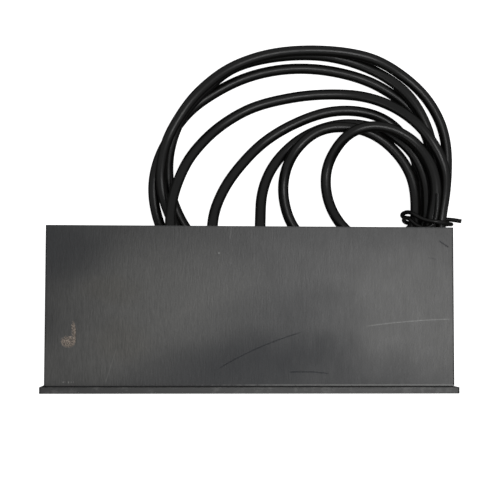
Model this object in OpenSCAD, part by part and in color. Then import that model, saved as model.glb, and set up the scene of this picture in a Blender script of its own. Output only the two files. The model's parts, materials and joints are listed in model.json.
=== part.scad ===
// Cellular signal booster with three captive leads.
// X runs to the right, +Y to the rear panel, +Z up.
// The origin lies on the resting surface, under the middle of the unit.

/* [Housing] */
// Width of the extruded housing
body_w = 181; // [178:1:186]
// Depth of the extruded housing, without the front plate
body_d = 71; // [70:0.5:73]
// Height of the extruded housing
body_h = 40; // [39:0.5:44]
// Thickness of the housing walls
wall = 2; // [1.6:0.2:2.2]
// Radius of the four long outer edges
edge_r = 0.8; // [0.4:0.1:1.2]
// Depth of the hood behind the rear panel
hood_d = 27.4; // [27:0.2:28]
// Height of the hood's side cheeks at the rear edge
hood_lip = 6; // [4:0.5:8]
// Thickness of the rear panel
panel_t = 2; // [1.6:0.2:2.4]

/* [Front plate] */
// Thickness of the front plate
plate_t = 2.8; // [2.4:0.2:3.2]
// Overhang of the front plate past the housing on every side
plate_lip = 1.9; // [1.2:0.1:2.6]
// Thickness of the gasket between the plate and the housing
gasket_t = 0.6; // [0.4:0.1:0.8]

/* [Controls] */
// Radius of the two gain adjusters
knob_r = 5; // [4:0.25:5.5]
// Distance of each gain adjuster from the middle
knob_x = 32; // [28:1:36]
// Spacing of the status lights
light_gap = 8; // [6:0.5:9]
// Width of the power button
button_w = 14; // [10:0.5:16]
// Height of the power button
button_h = 7; // [5:0.5:9]
// Travel of the power button
button_travel = 1.8; // [1:0.1:1.8]

/* [Feet] */
// Height of the rubber feet
foot_h = 3; // [2.8:0.1:3.4]
// Radius of the rubber feet
foot_r = 6; // [5:0.5:8]

/* [Leads] */
// Outer diameter of the three leads
cord_d = 5; // [4.8:0.05:5]
// Height of the cable glands above the resting surface
exit_z = 25; // [25:0.1:25.4]

/* [Hidden] */
$fn = 48;
rear_y = (body_d + plate_t) / 2;
front_y = rear_y - body_d;
face_y = front_y - plate_t;
tube_y = front_y + gasket_t;
panel_y = rear_y - hood_d;
panel_in = panel_y - panel_t;
base_z = foot_h;
top_z = base_z + body_h;
floor_z = base_z + wall;
ceil_z = top_z - wall;
mid_z = (base_z + top_z) / 2;
in_w = body_w - 2 * wall;
side_x = in_w / 2;

boss_r = 3.4;
boss_in = 2.6;
boss_x = side_x - boss_in;
boss_z = [floor_z + boss_in, ceil_z - boss_in];
screw_r = 1.5;

board_z = 15;
board_t = 1.6;
board_top = board_z + board_t;
board_y = [tube_y + 1.5, panel_in - 1];
board_gap = 0.05;
seat_z = board_top + board_gap;
rail_d = 3;
rail_t = 1.6;
// Centre x, centre y and side of each chip under the board
chips = [[-62, -10, 9], [-34, -14, 7], [-8, 0, 6], [22, -12, 9], [50, -2, 5], [66, -18, 7]];
chip_h = 1.4;
amp_x = [-18, 12];
amp_y = -13;
amp_size = [10, 8, 1.6];
pad_h = 0.8;
pad_over = 0.5;
socket_y = [-5, 2];

control_y = -24;
control_t = 1.6;
light_n = 5;
light_r = 1.5;
knob_gap = 0.3;
shaft_r = 3;
shaft_fit = 0.05;
button_x = -62;
button_gap = 0.3;
button_flush = 0.3;
control_z = mid_z + 1;

foot_x = 76;
foot_y = [-25, 1];
foot_hole = 3.3;
foot_seat = 1.6;

exit_x = [-36, -17, 5];
tail_r = 1.5;
nut_r = 7;
thread_r = 5;
gland_in = 3.5;
boot_r = 3.9;
boot_end = 31;
nut_end = 15.5;
stud_x = 47.5;
stud_r = 2;
stud_neck = 2.5;
neck_len = 4;
stud_len = 14;
stud_nut = 3.2;
washer_t = 0.8;

plug_a = [70, 14.4, 9.8];
plug_b = [56, 25.2, 9.8];
plug_c = [14, 21.5, 10.6];
tie_r = 1;

// ---- shape helpers ----

// Extrudes an X-Z outline along Y from y0 to y1
module along_y(y0, y1) {
  translate([0, y1, 0]) rotate([90, 0, 0]) linear_extrude(height = y1 - y0) children();
}

// A round bar along Y, with its axis at x, z
module bar_y(x, z, r, y0, y1, r2 = 0) {
  translate([x, y0, z]) rotate([-90, 0, 0])
    cylinder(h = y1 - y0, r1 = r, r2 = r2 > 0 ? r2 : r);
}

// A round bar along -X, starting at dx past the point p
module bar_x(p, dx, len, r, r2 = 0) {
  translate([p[0] - dx, p[1], p[2]]) rotate([0, -90, 0])
    cylinder(h = len, r1 = r, r2 = r2 > 0 ? r2 : r);
}

// A flat rectangle with rounded corners, centred on the origin
module round_rect(w, h, r) {
  square([w - 2 * r, h], center = true);
  square([w, h - 2 * r], center = true);
  for (x = [-1, 1], z = [-1, 1])
    translate([x * (w / 2 - r), z * (h / 2 - r)]) circle(r);
}

// A box from one corner to the other
module block(a, b) {
  translate(a) cube(b - a);
}

// A screw along Y: shank from y0 to y1, head past y1, with a cross slot
module screw_y(x, z, y0, y1, head_r, head_h) {
  bar_y(x, z, screw_r, y0, y1);
  difference() {
    bar_y(x, z, head_r, y1, y1 + head_h, head_r * 0.8);
    translate([x, y1 + head_h, z]) cube([3, 1.2, 0.7], center = true);
    translate([x, y1 + head_h, z]) cube([0.7, 1.2, 3], center = true);
  }
}

// ---- housing ----

module housing() {
  color([0.27, 0.28, 0.29]) difference() {
    union() {
      difference() {
        along_y(tube_y, rear_y) translate([0, mid_z]) round_rect(body_w, body_h, edge_r);
        along_y(tube_y - 1, rear_y + 1)
          translate([0, mid_z]) square([in_w, body_h - 2 * wall], center = true);
      }
      along_y(tube_y, panel_in) intersection() {
        translate([0, mid_z]) square([in_w + wall, body_h - wall], center = true);
        for (x = [-1, 1], z = boss_z) translate([x * boss_x, z]) circle(boss_r);
      }
      for (x = [-side_x - 0.1, side_x - rail_d])
        for (z = [board_z - rail_t, board_top + 0.2])
          block([x, tube_y, z], [x + rail_d + 0.1, panel_in, z + rail_t]);
    }
    for (x = [-boss_x, boss_x], z = boss_z) bar_y(x, z, screw_r, tube_y - 1, panel_in + 1);
    for (x = [-1, 1], y = foot_y) translate([x * foot_x, y, base_z - 1]) cylinder(h = wall + 2, r = screw_r);
    hood_cut();
  }
}

// Opens the hood: the floor ends at the rear panel and the cheeks slope up to the rear edge
module hood_cut() {
  slope = [
    [panel_y, base_z - 1], [rear_y + 1, base_z - 1], [rear_y + 1, top_z - hood_lip],
    [rear_y, top_z - hood_lip], [panel_y, base_z + 1]
  ];
  translate([-body_w / 2 - 1, 0, 0]) rotate([90, 0, 90])
    linear_extrude(height = body_w + 2) polygon(slope);
}

module front_plate() {
  color([0.24, 0.25, 0.26]) difference() {
    along_y(face_y, front_y) translate([0, mid_z])
      round_rect(body_w + 2 * plate_lip, body_h + 2 * plate_lip, 1);
    for (x = [-boss_x, boss_x], z = boss_z) {
      bar_y(x, z, screw_r + 0.1, face_y - 1, front_y + 1);
      bar_y(x, z, 3.1, face_y - 0.01, face_y + 1.6, screw_r + 0.1);
    }
    for (i = [0 : light_n - 1]) bar_y(light_x(i), control_z, light_r + 0.05, face_y - 1, front_y + 1);
    for (x = [-knob_x, knob_x]) bar_y(x, control_z, knob_r + knob_gap, face_y - 1, front_y + 1);
    along_y(face_y - 1, front_y + 1) translate([button_x, control_z])
      round_rect(button_w + 2 * button_gap, button_h + 2 * button_gap, 1.5);
  }
}

module front_gasket() {
  color([0.05, 0.05, 0.05]) along_y(front_y, tube_y) difference() {
    translate([0, mid_z]) round_rect(body_w - 1, body_h - 1, edge_r);
    translate([0, mid_z]) square([in_w + 0.4, body_h - 2 * wall + 0.4], center = true);
  }
}

module rear_panel() {
  color([0.22, 0.23, 0.24]) difference() {
    along_y(panel_in, panel_y) translate([0, mid_z])
      square([in_w - 0.2, body_h - 2 * wall - 0.2], center = true);
    for (x = exit_x) bar_y(x, exit_z, thread_r + 0.1, panel_in - 1, panel_y + 1);
    for (x = [-boss_x, boss_x], z = boss_z) bar_y(x, z, screw_r + 0.1, panel_in - 1, panel_y + 1);
    bar_y(stud_x, exit_z, stud_neck + 0.1, panel_in - 1, panel_y + 1);
  }
}

// Countersunk, flush with the front plate, driven from the front
module front_screws() {
  color([0.1, 0.1, 0.1]) for (x = [-boss_x, boss_x], z = boss_z) difference() {
    union() {
      bar_y(x, z, screw_r, face_y + 1, tube_y + 9);
      bar_y(x, z, 2.95, face_y + 0.1, face_y + 1.5, screw_r);
    }
    translate([x, face_y + 0.1, z]) cube([3, 1.4, 0.7], center = true);
    translate([x, face_y + 0.1, z]) cube([0.7, 1.4, 3], center = true);
  }
}

module rear_screws() {
  color([0.1, 0.1, 0.1]) for (x = [-boss_x, boss_x], z = boss_z)
    screw_y(x, z, panel_in - 8, panel_y, 2.5, 1.8);
}

// ---- feet ----

module foot(x, y) {
  color([0.06, 0.06, 0.06]) translate([x, y, 0]) rotate_extrude() polygon([
    [foot_hole, 0], [foot_r - 0.5, 0], [foot_r, 0.5], [foot_r - 0.6, foot_h],
    [screw_r + 0.2, foot_h], [screw_r + 0.2, foot_seat], [foot_hole, foot_seat]
  ]);
}

module foot_screws() {
  color("silver") for (x = [-foot_x, foot_x], y = foot_y) translate([x, y, 0]) difference() {
    union() {
      translate([0, 0, 0.4]) cylinder(h = 1.2, r = 2.9);
      translate([0, 0, 1]) cylinder(h = floor_z + 3, r = screw_r);
    }
    translate([0, 0, 0.4]) cube([3.2, 0.8, 1.2], center = true);
    translate([0, 0, 0.4]) cube([0.8, 3.2, 1.2], center = true);
  }
}

// ---- electronics ----

module main_board() {
  color([0.05, 0.3, 0.14])
    block([-side_x + 0.3, board_y[0], board_z + board_gap], [side_x - 0.3, board_y[1], seat_z]);
}

module board_chips() {
  color([0.08, 0.08, 0.09]) for (c = chips)
    translate([c[0], c[1], board_z + board_gap - chip_h / 2]) cube([c[2], c[2], chip_h], center = true);
}

module amplifier(x) {
  color([0.75, 0.68, 0.5]) translate([x, amp_y, seat_z + amp_size[2] / 2]) cube(amp_size, center = true);
}

module thermal_pads() {
  color([0.6, 0.75, 0.8]) for (x = amp_x) translate([x, amp_y, seat_z + amp_size[2] + pad_h / 2])
    cube([amp_size[0] + 2 * pad_over, amp_size[1] + 2 * pad_over, pad_h], center = true);
}

// A machined bridge that carries heat from the amplifiers to the housing's top wall
module heat_spreader() {
  bottom = seat_z + amp_size[2] + pad_h;
  color([0.72, 0.73, 0.74]) difference() {
    block([-30, amp_y - 6, bottom], [24, amp_y + 6, ceil_z]);
    for (i = [0 : 5]) block([-27 + i * 9, amp_y - 7, bottom + 5], [-22.5 + i * 9, amp_y + 7, ceil_z - 3]);
  }
}

module shield(a, b) {
  color([0.78, 0.79, 0.8]) difference() {
    block(a, b);
    block(a + [0.4, 0.4, -1], b - [0.4, 0.4, 0.4]);
    for (x = [a[0] + 5 : 6 : b[0] - 4], y = [a[1] + 4 : 5 : b[1] - 3])
      translate([x, y, b[2] - 1]) cylinder(h = 2, r = 0.9, $fn = 24);
  }
}

module duplexer(x) {
  color([0.83, 0.82, 0.78]) difference() {
    block([x - 13, -5, seat_z], [x + 13, 4, seat_z + 9]);
    for (i = [-1.5 : 1 : 1.5]) translate([x + i * 6, 0, seat_z + 2]) cylinder(h = 9, r = 1.6);
  }
}

module power_inductor() {
  color([0.15, 0.15, 0.16]) difference() {
    translate([30, -13, seat_z]) cylinder(h = 6, r = 4.5);
    translate([30, -13, seat_z + 5.4]) cylinder(h = 2, r = 2);
  }
}

module filter_capacitors() {
  color([0.1, 0.12, 0.2]) for (y = [-18, -9]) translate([-38, y, seat_z]) rotate_extrude()
    polygon([[0, 0], [3.8, 0], [4, 0.4], [4, 1], [3.7, 1.4], [4, 1.8], [4, 11.6], [3.6, 12], [0, 12]]);
}

module control_board() {
  color([0.05, 0.3, 0.14])
    block([-75, control_y, board_top + 1.5], [48, control_y + control_t, ceil_z - 2.5]);
}

module board_header() {
  color([0.1, 0.1, 0.1])
    block([-12, control_y + control_t, seat_z], [12, control_y + control_t + 2.5, seat_z + 5]);
}

function light_x(i) = (i - (light_n - 1) / 2) * light_gap;

module status_leds() {
  color([0.3, 0.75, 0.35]) for (i = [0 : light_n - 1]) {
    bar_y(light_x(i), control_z, light_r, control_y - 4, control_y);
    bar_y(light_x(i), control_z, light_r + 0.4, control_y - 1, control_y);
    translate([light_x(i), control_y - 4, control_z]) sphere(light_r);
  }
}

module light_pipes() {
  color([0.85, 0.9, 0.9]) for (i = [0 : light_n - 1]) {
    bar_y(light_x(i), control_z, light_r, face_y + 0.1, control_y - 6);
    bar_y(light_x(i), control_z, light_r + 0.8, front_y, front_y + 1);
  }
}

// ---- controls ----

module power_switch() {
  color([0.15, 0.15, 0.15]) difference() {
    block([button_x - 5, control_y - 4, control_z - 5], [button_x + 5, control_y, control_z + 5]);
    bar_y(button_x, control_z, 2.3, control_y - 5, control_y - 0.4);
  }
}

module power_button() {
  color([0.12, 0.12, 0.13]) {
    along_y(face_y + button_flush, front_y + 3) translate([button_x, control_z])
      round_rect(button_w, button_h, 1.2);
    bar_y(button_x, control_z, 2, front_y + 3, control_y - 2.6);
  }
}

module potentiometer(x) {
  color([0.2, 0.25, 0.45]) difference() {
    block([x - 6, control_y - 5, control_z - 6], [x + 6, control_y, control_z + 6]);
    bar_y(x, control_z, shaft_r + shaft_fit, control_y - 6, control_y - 1);
  }
}

module gain_knob(x) {
  color([0.12, 0.12, 0.13]) difference() {
    union() {
      bar_y(x, control_z, knob_r, face_y + button_flush, front_y + 3);
      bar_y(x, control_z, shaft_r, front_y + 3, control_y - 1.3);
    }
    translate([x, face_y, control_z]) cube([1.4, 3, 2 * knob_r - 2], center = true);
  }
}

// ---- rear panel fittings ----

module lead_sockets() {
  color([0.75, 0.6, 0.3]) for (x = exit_x)
    block([x - 4, socket_y[0], seat_z], [x + 4, socket_y[1], exit_z + 4]);
}

module inner_tails() {
  color([0.85, 0.85, 0.82]) for (x = exit_x)
    bar_y(x, exit_z, tail_r, socket_y[1], panel_in - gland_in);
}

module gland_bodies() {
  color([0.7, 0.7, 0.68]) for (x = exit_x) {
    bar_y(x, exit_z, thread_r, panel_in - gland_in, panel_y);
    translate([x, panel_y, exit_z]) rotate([-90, 30, 0]) cylinder(h = 3, r = nut_r, $fn = 6);
  }
}

module gland_lock_nuts() {
  color([0.7, 0.7, 0.68]) for (x = exit_x) difference() {
    translate([x, panel_in - 2.5, exit_z]) rotate([-90, 30, 0]) cylinder(h = 2.5, r = nut_r, $fn = 6);
    bar_y(x, exit_z, thread_r, panel_in - 4, panel_in + 1);
  }
}

module gland_caps() {
  color([0.7, 0.7, 0.68]) for (x = exit_x) difference() {
    union() {
      translate([x, panel_y + 3, exit_z]) rotate([-90, 30, 0]) cylinder(h = 2, r = nut_r - 0.5, $fn = 6);
      bar_y(x, exit_z, nut_r - 1, panel_y + 5, nut_end, nut_r - 2);
    }
    bar_y(x, exit_z, boot_r, panel_y + gland_in, nut_end + 1);
  }
}

// A tapered rubber sleeve that keeps the lead from kinking at the gland
module boot(x) {
  color([0.07, 0.07, 0.07]) {
    bar_y(x, exit_z, boot_r, panel_y + gland_in, nut_end);
    bar_y(x, exit_z, boot_r, nut_end, boot_end, cord_d / 2 + 0.5);
  }
}

module ground_stud() {
  color([0.8, 0.68, 0.35]) difference() {
    union() {
      bar_y(stud_x, exit_z, stud_neck, panel_in - 5, panel_y + neck_len);
      bar_y(stud_x, exit_z, stud_r, panel_y + neck_len, panel_y + stud_len);
    }
    translate([stud_x, panel_y + stud_len, exit_z]) cube([1, 1.6, 6], center = true);
  }
}

module ground_nuts() {
  color([0.8, 0.8, 0.78]) for (y = [panel_in - stud_nut, panel_y + washer_t]) difference() {
    translate([stud_x, y, exit_z]) rotate([-90, 0, 0]) cylinder(h = stud_nut, r = 4.04, $fn = 6);
    bar_y(stud_x, exit_z, stud_neck, y - 1, y + stud_nut + 1);
  }
}

module ground_washer() {
  color([0.8, 0.8, 0.78]) difference() {
    bar_y(stud_x, exit_z, 4.5, panel_y, panel_y + washer_t);
    bar_y(stud_x, exit_z, stud_neck + 0.15, panel_y - 1, panel_y + 2);
  }
}

// ---- leads ----

// Corner points of the three routes, in turn from the gland to the plug.
// Every curve is a smooth one that its points pull towards them.
outdoor_route = [
  [-36, 31, 25], [-36, 38, 25], [-36, 45, 21], [-35, 53, 17], [-32, 62, 13], [-28, 71, 10],
  [-21, 80, 6.5], [-13, 88, 3], [1, 97, 2.5], [16, 101, 2.5], [30, 103.5, 2.5], [45, 104, 2.5],
  [55, 103, 4], [64, 100, 7], [73, 95, 10], [81, 88, 13], [87, 80, 14], [91, 73, 13.5],
  [93.5, 66, 13], [93.5, 58, 14], [92, 50, 14.5], [90.5, 41, 14.5], [90.5, 33, 12.5], [88, 24, 8],
  [79, 18, 2.5], [66, 16, 2.5], [48, 15, 2.5], [26, 13.5, 2.5], [6, 13, 2.5], [-11, 13, 2.5],
  [-25, 17.5, 2.5], [-35.5, 28, 2.5], [-41.5, 40, 2.5], [-44.5, 52, 2.5], [-44.5, 63, 2.5],
  [-41.5, 74, 2.5], [-36, 84, 2.5], [-28, 95, 2.5], [-18, 102.5, 2.5], [-4, 110.5, 2.5],
  [11, 115, 2.5], [25.5, 116.5, 2.5], [40, 115.5, 2.5], [55, 112, 2.5], [66, 107, 2.5],
  [76, 100, 2.5], [82.5, 92.5, 2.5], [87, 84, 2.5], [89, 75, 2.5], [90, 66, 2.5],
  [89, 56, 3.5], [88.5, 47, 5], [86, 38, 4.2], [81.5, 31.5, 2.5], [72, 28.5, 2.5], [60, 28.5, 2.5],
  [44, 26.5, 2.5], [26, 25, 2.5], [8, 24.5, 2.5], [-6, 25, 2.5], [-18.5, 29, 2.5],
  [-26.5, 35, 2.5], [-31.5, 43, 2.5], [-35.5, 52, 2.5], [-37.5, 62, 3], [-37.5, 72, 5.5],
  [-35.5, 81, 8], [-32, 90, 8], [-25.5, 99, 8], [-17.5, 107, 6.5], [-10, 114, 4.5], [-1, 118.5, 2.5],
  [11, 121.5, 2.5], [25.5, 123, 2.5], [40, 122.5, 2.5], [55, 118.5, 2.5], [66, 113, 3.5],
  [75.5, 105.5, 6.5], [82, 96, 8], [86.5, 86, 8], [88.5, 77, 8], [90.5, 67, 8], [91, 58, 9],
  [91, 49, 9.5], [89.5, 40.5, 9.5], [88, 31.5, 6.5], [81.5, 25, 4], [71, 22, 2.5], [58, 21.5, 2.5],
  [42, 20.5, 2.5], [24, 19.5, 2.5], [6, 18.5, 2.5], [-9, 19, 2.5], [-20, 23.5, 2.5], [-29, 31, 5],
  [-35, 41, 7], [-39, 50.5, 7], [-41, 60, 7], [-40.5, 70, 9.5], [-38, 80, 13], [-33, 89, 13.5],
  [-26.5, 99, 13.5], [-18, 107.5, 11.5], [-8.5, 115, 9.5], [6, 121, 8], [20, 123.5, 8],
  [35, 124, 8], [49.5, 123, 7.5], [62.5, 120, 7], [74, 114, 3.5], [83.5, 106.5, 2.5],
  [90, 98, 2.5], [94.5, 88.5, 2.5], [96.5, 78, 2.5], [96.5, 68, 2.5], [95.5, 57, 3.5], [93.5, 48, 5],
  [92.5, 40, 5], [92.5, 31, 2.5], [92.5, 22.5, 2.5], [88.5, 16, 4.5], [80.5, 14, 9],
  plug_a
];
indoor_route = [
  [-17, 31, 25], [-17, 38, 24.5], [-16, 45, 19.5], [-13.5, 52, 14.5], [-9.5, 60, 10.5],
  [-3, 69, 6], [6, 79, 2.5], [16, 86, 2.5], [26, 91, 2.5], [36.5, 95, 2.5], [48, 96.5, 2.5],
  [60, 95, 2.5], [69.5, 90.5, 2.5], [76, 83.5, 2.5], [80.5, 75.5, 2.5], [83, 66, 2.5],
  [83.5, 56, 3.5], [83, 47.5, 5], [80.5, 41, 5.2], [75.5, 35.5, 2.5], [66, 34, 2.5], [55, 33, 2.5],
  [45, 32, 2.5], [36, 31, 2.5], [27.5, 33, 2.5], [21, 41, 2.5], [18, 50, 2.5], [17, 59, 2.5],
  [18.5, 68, 4.5], [22.5, 76, 8], [30, 83.5, 8], [38, 87, 7.5], [47, 87.5, 7.5], [56, 86, 7.5],
  [65, 81.5, 7], [73, 73.5, 7.5], [78.5, 64, 8], [80, 54.5, 8.5], [79.5, 46, 11.5],
  [78.5, 38.5, 14], [74, 32, 13.5], [66.5, 27.5, 12.5],
  plug_b
];
power_route = [
  [5, 31, 25], [5, 38, 24.5], [5.5, 45, 19.5], [6, 52, 15], [8, 60, 10], [12, 68.5, 5],
  [18.5, 76.5, 2.5], [26.5, 83, 2.5], [36, 87.5, 2.5], [47, 90, 2.5], [58, 89, 2.5], [67.5, 85.5, 4.4],
  [75.5, 79.5, 7.2], [82, 71, 7.7], [85.5, 60.5, 8], [85.5, 51, 9.5], [84.5, 42, 9.5],
  [79.5, 35.5, 8.5], [72, 32.5, 7.5], [64, 31.5, 7.5], [56.5, 32.5, 7.5], [49.5, 35.5, 7.5],
  [43.5, 41.5, 7], [39.5, 49.5, 4], [37.5, 58.5, 2.5], [38, 69, 2.5], [42.5, 78, 7],
  [48, 84, 12.5], [56, 87, 13], [64.5, 87, 13], [73, 84, 12.5], [80, 79, 12.5], [85, 72, 14],
  [88, 63, 16], [88.5, 54, 17], [86.5, 45, 17], [84.5, 36, 17], [81, 28, 15.5], [74, 22.5, 15],
  [65, 20.5, 15], [54, 20, 15.5], [43, 19.5, 15.5], [33, 19.5, 16],
  [24, 20, 14.5],
  plug_c
];
// The tie: one end lies on the bundle, then two turns round it, and the other end sticks out
tie_route = [
  [88, 54.5, 21], [88, 50, 21], [87.5, 45.5, 21], [87, 42.5, 21], [85.5, 39.5, 21], [82.5, 38, 20.5],
  [79.5, 39, 19], [77.5, 41, 17], [75.5, 43.5, 14.5], [74.5, 44, 10], [74.5, 43, 5], [77, 42, 1.3],
  [81.5, 42, 1], [88, 42, 1], [92, 41.5, 1], [95, 41.5, 1.5], [97, 41.5, 4.5], [97, 41, 9.5],
  [95.5, 40.5, 15], [93, 40.5, 19.5], [89, 41, 23.5], [85, 41, 23.5], [81.5, 42, 21.5],
  [79, 43.5, 19.5], [77, 45.5, 17.5], [75, 46.5, 13.5], [73.5, 46, 9], [74, 45, 4.5],
  [77, 44.5, 1.5], [81.5, 44.5, 1], [88, 44.5, 1], [93, 44, 1], [98, 44, 2], [103, 43, 3.5]
];

outdoor_rings = 110;
indoor_rings = 46;
power_rings = 46;
tie_rings = 80;
cord_sides = 8;

// Uniform cubic B-spline through a route, with its ends on the first and last points
function padded(r) = concat([2 * r[0] - r[1]], r, [2 * r[len(r) - 1] - r[len(r) - 2]]);
function blend(a, b, c, d, t) =
  (pow(1 - t, 3) * a + (3 * pow(t, 3) - 6 * t * t + 4) * b
    + (-3 * pow(t, 3) + 3 * t * t + 3 * t + 1) * c + pow(t, 3) * d) / 6;
function at(p, u) = let (i = min(floor(u), len(p) - 4)) blend(p[i], p[i + 1], p[i + 2], p[i + 3], u - i);
function path(r, n) = let (p = padded(r)) [for (k = [0 : n]) at(p, k * (len(r) - 1) / n)];
function unit(v) = v / norm(v);
function heading(p, k) = unit(p[min(k + 1, len(p) - 1)] - p[max(k - 1, 0)]);
function ring(c, t, r, sides) =
  let (s = unit(cross(t, [0, 0, 1])), u = cross(s, t))
  [for (j = [0 : sides - 1]) c + r * (cos(360 * j / sides) * s + sin(360 * j / sides) * u)];

// Sweeps a round section of radius r along a route
module sweep(route, r, rings, sides) {
  p = path(route, rings);
  points = [for (k = [0 : rings]) each ring(p[k], heading(p, k), r, sides)];
  skin = [for (k = [0 : rings - 1], j = [0 : sides - 1]) let (n = (j + 1) % sides)
    each [[k * sides + j, k * sides + n, (k + 1) * sides + n],
          [k * sides + j, (k + 1) * sides + n, (k + 1) * sides + j]]];
  first = [for (j = [sides - 1 : -1 : 0]) j];
  last = [for (j = [0 : sides - 1]) rings * sides + j];
  polyhedron(points = points, faces = concat([first], skin, [last]));
}

module lead(route, rings) {
  color([0.04, 0.04, 0.04]) sweep(route, cord_d / 2, rings, cord_sides);
}

module wire_tie() {
  color([0.05, 0.05, 0.05]) sweep(tie_route, tie_r, tie_rings, cord_sides);
}

// ---- plugs ----

// Threaded radio plug: crimp sleeve, body and outer conductor in one piece
module plug_body(p) {
  color([0.8, 0.67, 0.35]) difference() {
    union() {
      bar_x(p, 0, 12, 3.1);
      bar_x(p, 0, 8, 3.5);
      bar_x(p, 12, 5.5, 4);
      bar_x(p, 17.5, 4, 2.6);
      bar_x(p, 19.9, 1.2, 2.9);
      bar_x(p, 21.5, 3, 2.3);
    }
    bar_x(p, 19, 7, 2.05);
  }
}

module plug_contact(p) {
  color([0.93, 0.93, 0.9]) {
    bar_x(p, 19, 5, 2.05);
    bar_x(p, 24, 2.6, 0.46);
  }
}

module coupling_nut(p) {
  color([0.82, 0.7, 0.38]) difference() {
    translate([p[0] - 17.8, p[1], p[2]]) rotate([0, -90, 0]) cylinder(h = 9, r = 4.62, $fn = 6);
    bar_x(p, 17, 11, 2.66);
    bar_x(p, 19.5, 9, 3.05);
  }
}

module power_plug_handle() {
  color([0.06, 0.06, 0.06]) difference() {
    union() {
      bar_x(plug_c, 0, 12, 3.1, 4.6);
      bar_x(plug_c, 12, 20, 5.5, 5);
    }
    bar_x(plug_c, 26, 7, 2.4);
  }
}

module power_plug_barrel() {
  color([0.85, 0.85, 0.83]) difference() {
    union() {
      bar_x(plug_c, 26, 7, 2.4);
      bar_x(plug_c, 32, 9.5, 2.75);
    }
    bar_x(plug_c, 33, 9, 1.05);
  }
}

// ---- assembly ----

housing();
front_plate();
front_gasket();
rear_panel();
front_screws();
rear_screws();
foot(-foot_x, foot_y[0]);  // foot_front_left
foot(foot_x, foot_y[0]);  // foot_front_right
foot(-foot_x, foot_y[1]);  // foot_rear_left
foot(foot_x, foot_y[1]);  // foot_rear_right
foot_screws();
main_board();
board_chips();
amplifier(amp_x[0]);  // uplink_amplifier
amplifier(amp_x[1]);  // downlink_amplifier
thermal_pads();
heat_spreader();
shield([-80, -20, seat_z], [-46, 4, seat_z + 5]);  // uplink_shield
shield([40, -20, seat_z], [80, -8, seat_z + 5]);  // downlink_shield
duplexer(31);  // outdoor_duplexer
duplexer(64);  // indoor_duplexer
power_inductor();
filter_capacitors();
control_board();
board_header();
status_leds();
light_pipes();
power_switch();
power_button();
potentiometer(-knob_x);  // uplink_potentiometer
potentiometer(knob_x);  // downlink_potentiometer
gain_knob(-knob_x);  // uplink_gain_knob
gain_knob(knob_x);  // downlink_gain_knob
lead_sockets();
inner_tails();
gland_bodies();
gland_lock_nuts();
gland_caps();
boot(exit_x[0]);  // outdoor_lead_boot
boot(exit_x[1]);  // indoor_lead_boot
boot(exit_x[2]);  // power_lead_boot
ground_stud();
ground_nuts();
ground_washer();
lead(outdoor_route, outdoor_rings);  // outdoor_lead
lead(indoor_route, indoor_rings);  // indoor_lead
lead(power_route, power_rings);  // power_lead
plug_body(plug_a);  // outdoor_plug_body
plug_contact(plug_a);  // outdoor_plug_contact
coupling_nut(plug_a);  // outdoor_coupling_nut
plug_body(plug_b);  // indoor_plug_body
plug_contact(plug_b);  // indoor_plug_contact
coupling_nut(plug_b);  // indoor_coupling_nut
power_plug_handle();
power_plug_barrel();
wire_tie();
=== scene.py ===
"""Looks of a cellular signal booster: its leads, fittings, finishes and a plain studio."""

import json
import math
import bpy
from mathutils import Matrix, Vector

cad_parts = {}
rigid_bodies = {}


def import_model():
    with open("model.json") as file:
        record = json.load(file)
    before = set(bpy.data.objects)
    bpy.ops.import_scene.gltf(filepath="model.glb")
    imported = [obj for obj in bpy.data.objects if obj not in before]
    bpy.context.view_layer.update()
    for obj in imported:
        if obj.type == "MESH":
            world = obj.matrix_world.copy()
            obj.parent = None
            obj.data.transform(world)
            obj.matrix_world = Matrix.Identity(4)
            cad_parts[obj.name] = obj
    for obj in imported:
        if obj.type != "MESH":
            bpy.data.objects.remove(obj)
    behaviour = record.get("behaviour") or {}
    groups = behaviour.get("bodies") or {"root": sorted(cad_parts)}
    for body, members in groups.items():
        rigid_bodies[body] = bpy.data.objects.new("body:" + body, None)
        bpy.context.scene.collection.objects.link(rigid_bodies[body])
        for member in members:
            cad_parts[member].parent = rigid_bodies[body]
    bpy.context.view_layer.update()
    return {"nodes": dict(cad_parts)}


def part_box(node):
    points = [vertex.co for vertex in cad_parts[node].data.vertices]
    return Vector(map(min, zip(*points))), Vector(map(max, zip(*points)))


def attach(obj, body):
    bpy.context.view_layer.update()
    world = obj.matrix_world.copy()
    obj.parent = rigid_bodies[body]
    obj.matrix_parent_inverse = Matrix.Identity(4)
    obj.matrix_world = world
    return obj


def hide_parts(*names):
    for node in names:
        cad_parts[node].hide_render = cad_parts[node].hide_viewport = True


bl_info = {
    "name": "Signal Booster",
    "version": (1, 0, 0),
    "blender": (4, 5, 0),
    "location": "3D View > Sidebar > Booster",
    "description": "Builds the leads, fittings, finishes and studio of a cellular signal booster",
    "category": "Object",
}

import bmesh
import bpy
from bpy.props import FloatProperty, FloatVectorProperty, PointerProperty
from mathutils import Matrix, Vector

# The scene starts empty, apart from the CAD model's nodes
for leftover in list(bpy.data.objects):
    bpy.data.objects.remove(leftover)
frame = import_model()

MM = 0.001
BODY = "unit"
CASE_LOW, CASE_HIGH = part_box("housing")
PLATE_LOW, PLATE_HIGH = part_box("front_plate")
SHARP_ANGLE = math.radians(40)
BEVEL_ANGLE = math.radians(35)

# The studio, in metres
SENSOR_WIDTH = 36.0
FLOOR_SIZE = 6.0
WALLS_RADIUS = 2.5
LAMP_TARGET = Vector((0.0, 0.02, 0.02))

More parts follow.
